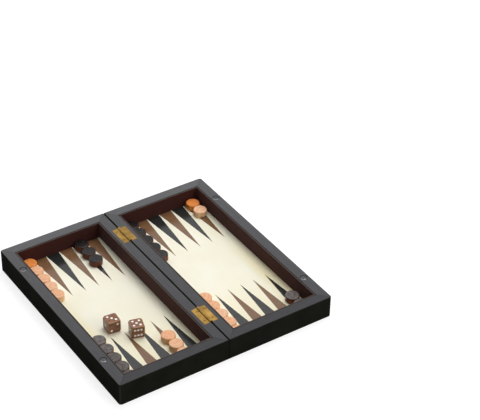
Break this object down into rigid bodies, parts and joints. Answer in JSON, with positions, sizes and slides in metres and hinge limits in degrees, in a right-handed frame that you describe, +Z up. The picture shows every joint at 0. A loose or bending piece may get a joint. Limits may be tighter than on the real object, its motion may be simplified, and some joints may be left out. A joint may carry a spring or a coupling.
{
  "type": "folding games compendium",
  "caption": "Folding wooden games box: hinged trays open flat as a backgammon board with checkers and dice, and the outside is a chessboard.",
  "frame": {"origin": "on the surface the open board lies on, under the fold, midway between the near and far edges", "axes": "+X across the fold towards the right tray, +Y along the fold towards the far edge, +Z up out of the open trays"},
  "size_m": [0.25, 0.25, 0.0266],
  "materials": {
    "black_lacquer": "satin black lacquer on beech",
    "plywood": "sanded birch plywood",
    "wall_flock": "dark brown flocked lining",
    "field_cream": "smooth cream lacquered sheet",
    "point_brown": "satin brown inlay",
    "point_grey": "satin grey inlay",
    "rosewood": "satin lacquered rosewood veneer",
    "maple": "satin lacquered maple veneer",
    "border_rosewood": "satin lacquered rosewood veneer",
    "light_boxwood": "waxed turned boxwood",
    "dark_stained_wood": "waxed turned wood, stained dark",
    "die_wood": "polished reddish wood with white painted pips",
    "hinge_brass": "brushed brass",
    "magnet_nickel": "nickel plated"
  },
  "bodies": {
    "left_tray": {"left_outer_rail": "black_lacquer", "left_fold_rail": "black_lacquer", "left_near_rail": "black_lacquer", "left_far_rail": "black_lacquer", "left_base_panel": "plywood", "left_wall_lining": "wall_flock", "left_playing_field": "field_cream", "left_brown_points": "point_brown", "left_grey_points": "point_grey", "left_dark_squares": "rosewood", "left_light_squares": "maple", "left_stringing": "maple", "left_border_veneer": "border_rosewood", "left_closure_magnets": "magnet_nickel", "left_light_checkers": "light_boxwood", "left_dark_checkers": "dark_stained_wood", "left_hinge_screws": "hinge_brass", "near_hinge_left_leaf": "hinge_brass", "near_hinge_pin": "hinge_brass", "far_hinge_left_leaf": "hinge_brass", "far_hinge_pin": "hinge_brass"},
    "right_tray": {"right_outer_rail": "black_lacquer", "right_fold_rail": "black_lacquer", "right_near_rail": "black_lacquer", "right_far_rail": "black_lacquer", "right_base_panel": "plywood", "right_wall_lining": "wall_flock", "right_playing_field": "field_cream", "right_brown_points": "point_brown", "right_grey_points": "point_grey", "right_dark_squares": "rosewood", "right_light_squares": "maple", "right_stringing": "maple", "right_border_veneer": "border_rosewood", "right_closure_magnets": "magnet_nickel", "right_light_checkers": "light_boxwood", "right_dark_checkers": "dark_stained_wood", "right_hinge_screws": "hinge_brass", "near_hinge_right_leaf": "hinge_brass", "far_hinge_right_leaf": "hinge_brass"},
    "die_1": {"die_1": "die_wood"},
    "die_2": {"die_2": "die_wood"}
  },
  "joints": [
    {"name": "board_fold", "type": "hinge", "parent": "left_tray", "child": "right_tray", "pos_m": [0, 0, 0.025], "axis": [0, -1, 0], "range_deg": [0, 180]},
    {"name": "die_1_lift", "type": "slide", "parent": "left_tray", "child": "die_1", "axis": [0, 0, 1], "range_m": [0, 0.02]},
    {"name": "die_2_lift", "type": "slide", "parent": "left_tray", "child": "die_2", "axis": [0, 0, 1], "range_m": [0, 0.02]}
  ]
}
